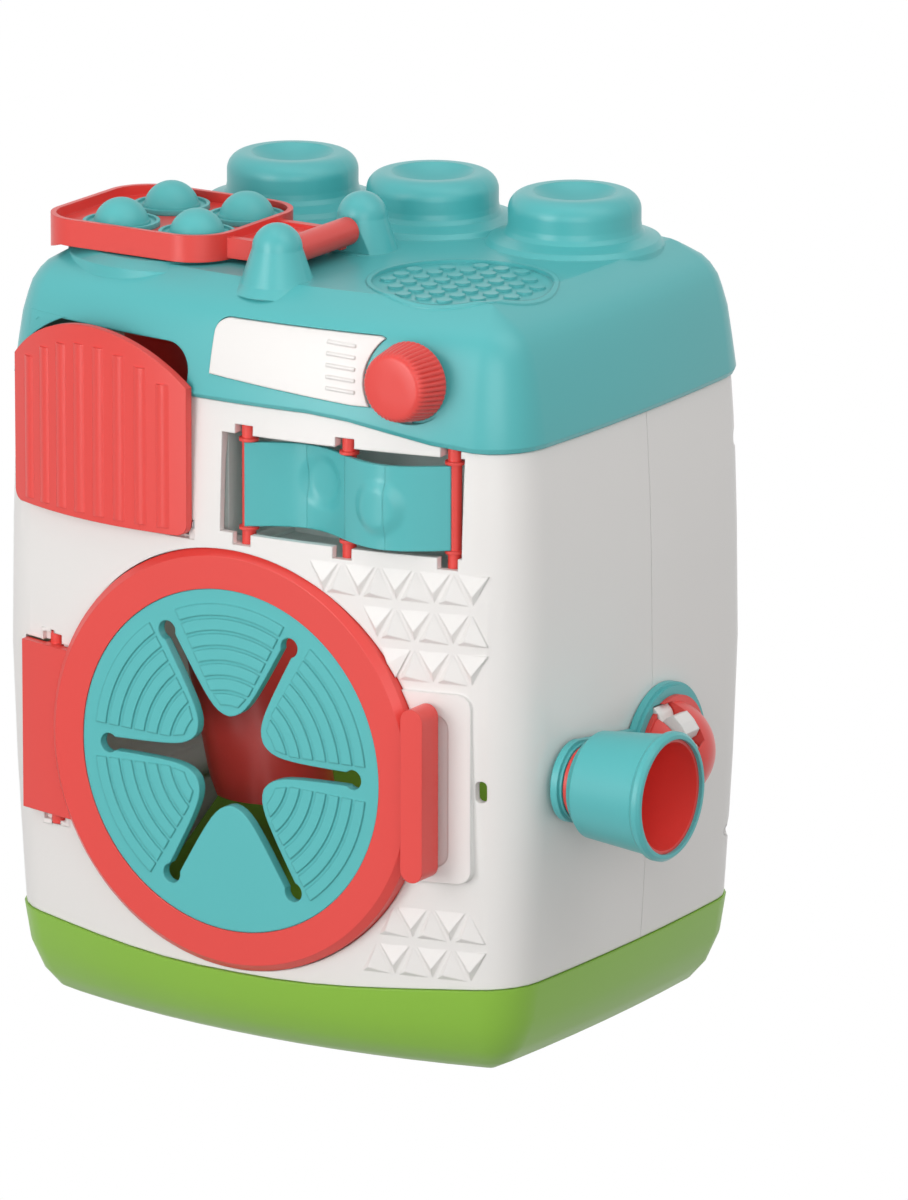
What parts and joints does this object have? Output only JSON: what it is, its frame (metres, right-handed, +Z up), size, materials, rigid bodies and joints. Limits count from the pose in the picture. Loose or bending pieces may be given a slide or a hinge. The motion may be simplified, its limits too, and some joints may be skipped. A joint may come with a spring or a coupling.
{
  "type": "toy washing machine",
  "caption": "Toy washing machine for a baby: soft star door on a hinge, tilting drawer, turning knob, wavy band, hinged tray of pop domes, ball chute and a spinning side cup with a star wheel.",
  "frame": {"origin": "bottom centre of the bounding box, on the plane the rubber feet rest on", "axes": "+Z up; -Y is the door side the child faces; +X is the side with the cup"},
  "size_m": [0.2334, 0.1718, 0.2598],
  "materials": {
    "green_plastic": "satin",
    "white_plastic": "satin",
    "teal_plastic": "satin",
    "red_plastic": "satin",
    "soft_teal": "soft satin",
    "foot_rubber": "matt",
    "steel": "plain zinc plated"
  },
  "bodies": {
    "body": {"base_tray": "green_plastic", "rubber_feet": "foot_rubber", "base_screws": "steel", "front_shell": "white_plastic", "rear_shell": "white_plastic", "shell_screws": "steel", "top_cover": "teal_plastic", "label_plate": "white_plastic", "drawer_pin": "steel", "window_pocket": "white_plastic", "band_rods": "red_plastic", "drop_chute": "red_plastic", "ball_ramp": "green_plastic", "side_plate": "teal_plastic", "wheel_housing": "red_plastic", "star_axle": "steel", "housing_screws": "steel"},
    "door": {"door_ring": "red_plastic", "star_disc": "soft_teal", "disc_retainer": "white_plastic", "retainer_screws": "steel"},
    "knob": {"program_knob": "red_plastic", "knob_clip": "steel"},
    "drawer": {"drawer_front": "red_plastic"},
    "lid": {"dome_tray": "red_plastic"},
    "dome_a": {"pop_dome_a": "soft_teal"},
    "dome_b": {"pop_dome_b": "soft_teal"},
    "dome_c": {"pop_dome_c": "soft_teal"},
    "dome_d": {"pop_dome_d": "soft_teal"},
    "cup": {"cup_liner": "red_plastic", "cup_sleeve": "teal_plastic", "cup_clip": "steel"},
    "star": {"star_wheel": "white_plastic"},
    "wave_left": {"wave_band_left": "teal_plastic"},
    "wave_right": {"wave_band_right": "teal_plastic"}
  },
  "joints": [
    {"name": "door_hinge", "type": "hinge", "parent": "body", "child": "door", "pos_m": [-0.08793, -0.0716, 0.0928], "axis": [0, 0, -1], "range_deg": [0, 100]},
    {"name": "knob_spin", "type": "hinge", "parent": "body", "child": "knob", "pos_m": [0.04258, -0.0721, 0.2205], "axis": [0, 1, 0], "continuous": true},
    {"name": "drawer_tilt", "type": "hinge", "parent": "body", "child": "drawer", "pos_m": [-0.06678, -0.07415, 0.1674], "axis": [0.987, -0.1606, 0], "range_deg": [0, 18]},
    {"name": "lid_hinge", "type": "hinge", "parent": "body", "child": "lid", "pos_m": [-0.01642, -0.0321, 0.2488], "axis": [0, 1, 0], "range_deg": [0, 105]},
    {"name": "cup_spin", "type": "hinge", "parent": "body", "child": "cup", "pos_m": [0.08407, -0.0414, 0.0938], "axis": [1, 0, 0], "continuous": true},
    {"name": "star_spin", "type": "hinge", "parent": "body", "child": "star", "pos_m": [0.08557, 0.0049, 0.0958], "axis": [0, 1, 0], "continuous": true},
    {"name": "wave_left_push", "type": "slide", "parent": "body", "child": "wave_left", "axis": [0, -1, 0], "range_m": [0, 0.014], "deforming": ["wave_band_left"]},
    {"name": "wave_right_push", "type": "slide", "parent": "body", "child": "wave_right", "axis": [0, 1, 0], "range_m": [0, 0.014], "deforming": ["wave_band_right"]},
    {"name": "pop_a", "type": "slide", "parent": "lid", "child": "dome_a", "axis": [0, 0, -1], "range_m": [0, 0.012], "deforming": ["pop_dome_a"]},
    {"name": "pop_b", "type": "slide", "parent": "lid", "child": "dome_b", "axis": [0, 0, -1], "range_m": [0, 0.012], "deforming": ["pop_dome_b"]},
    {"name": "pop_c", "type": "slide", "parent": "lid", "child": "dome_c", "axis": [0, 0, -1], "range_m": [0, 0.012], "deforming": ["pop_dome_c"]},
    {"name": "pop_d", "type": "slide", "parent": "lid", "child": "dome_d", "axis": [0, 0, -1], "range_m": [0, 0.012], "deforming": ["pop_dome_d"]}
  ],
  "couplings": [
    {"joint": "wave_right_push", "follows": "wave_left_push", "ratio": 1}
  ]
}
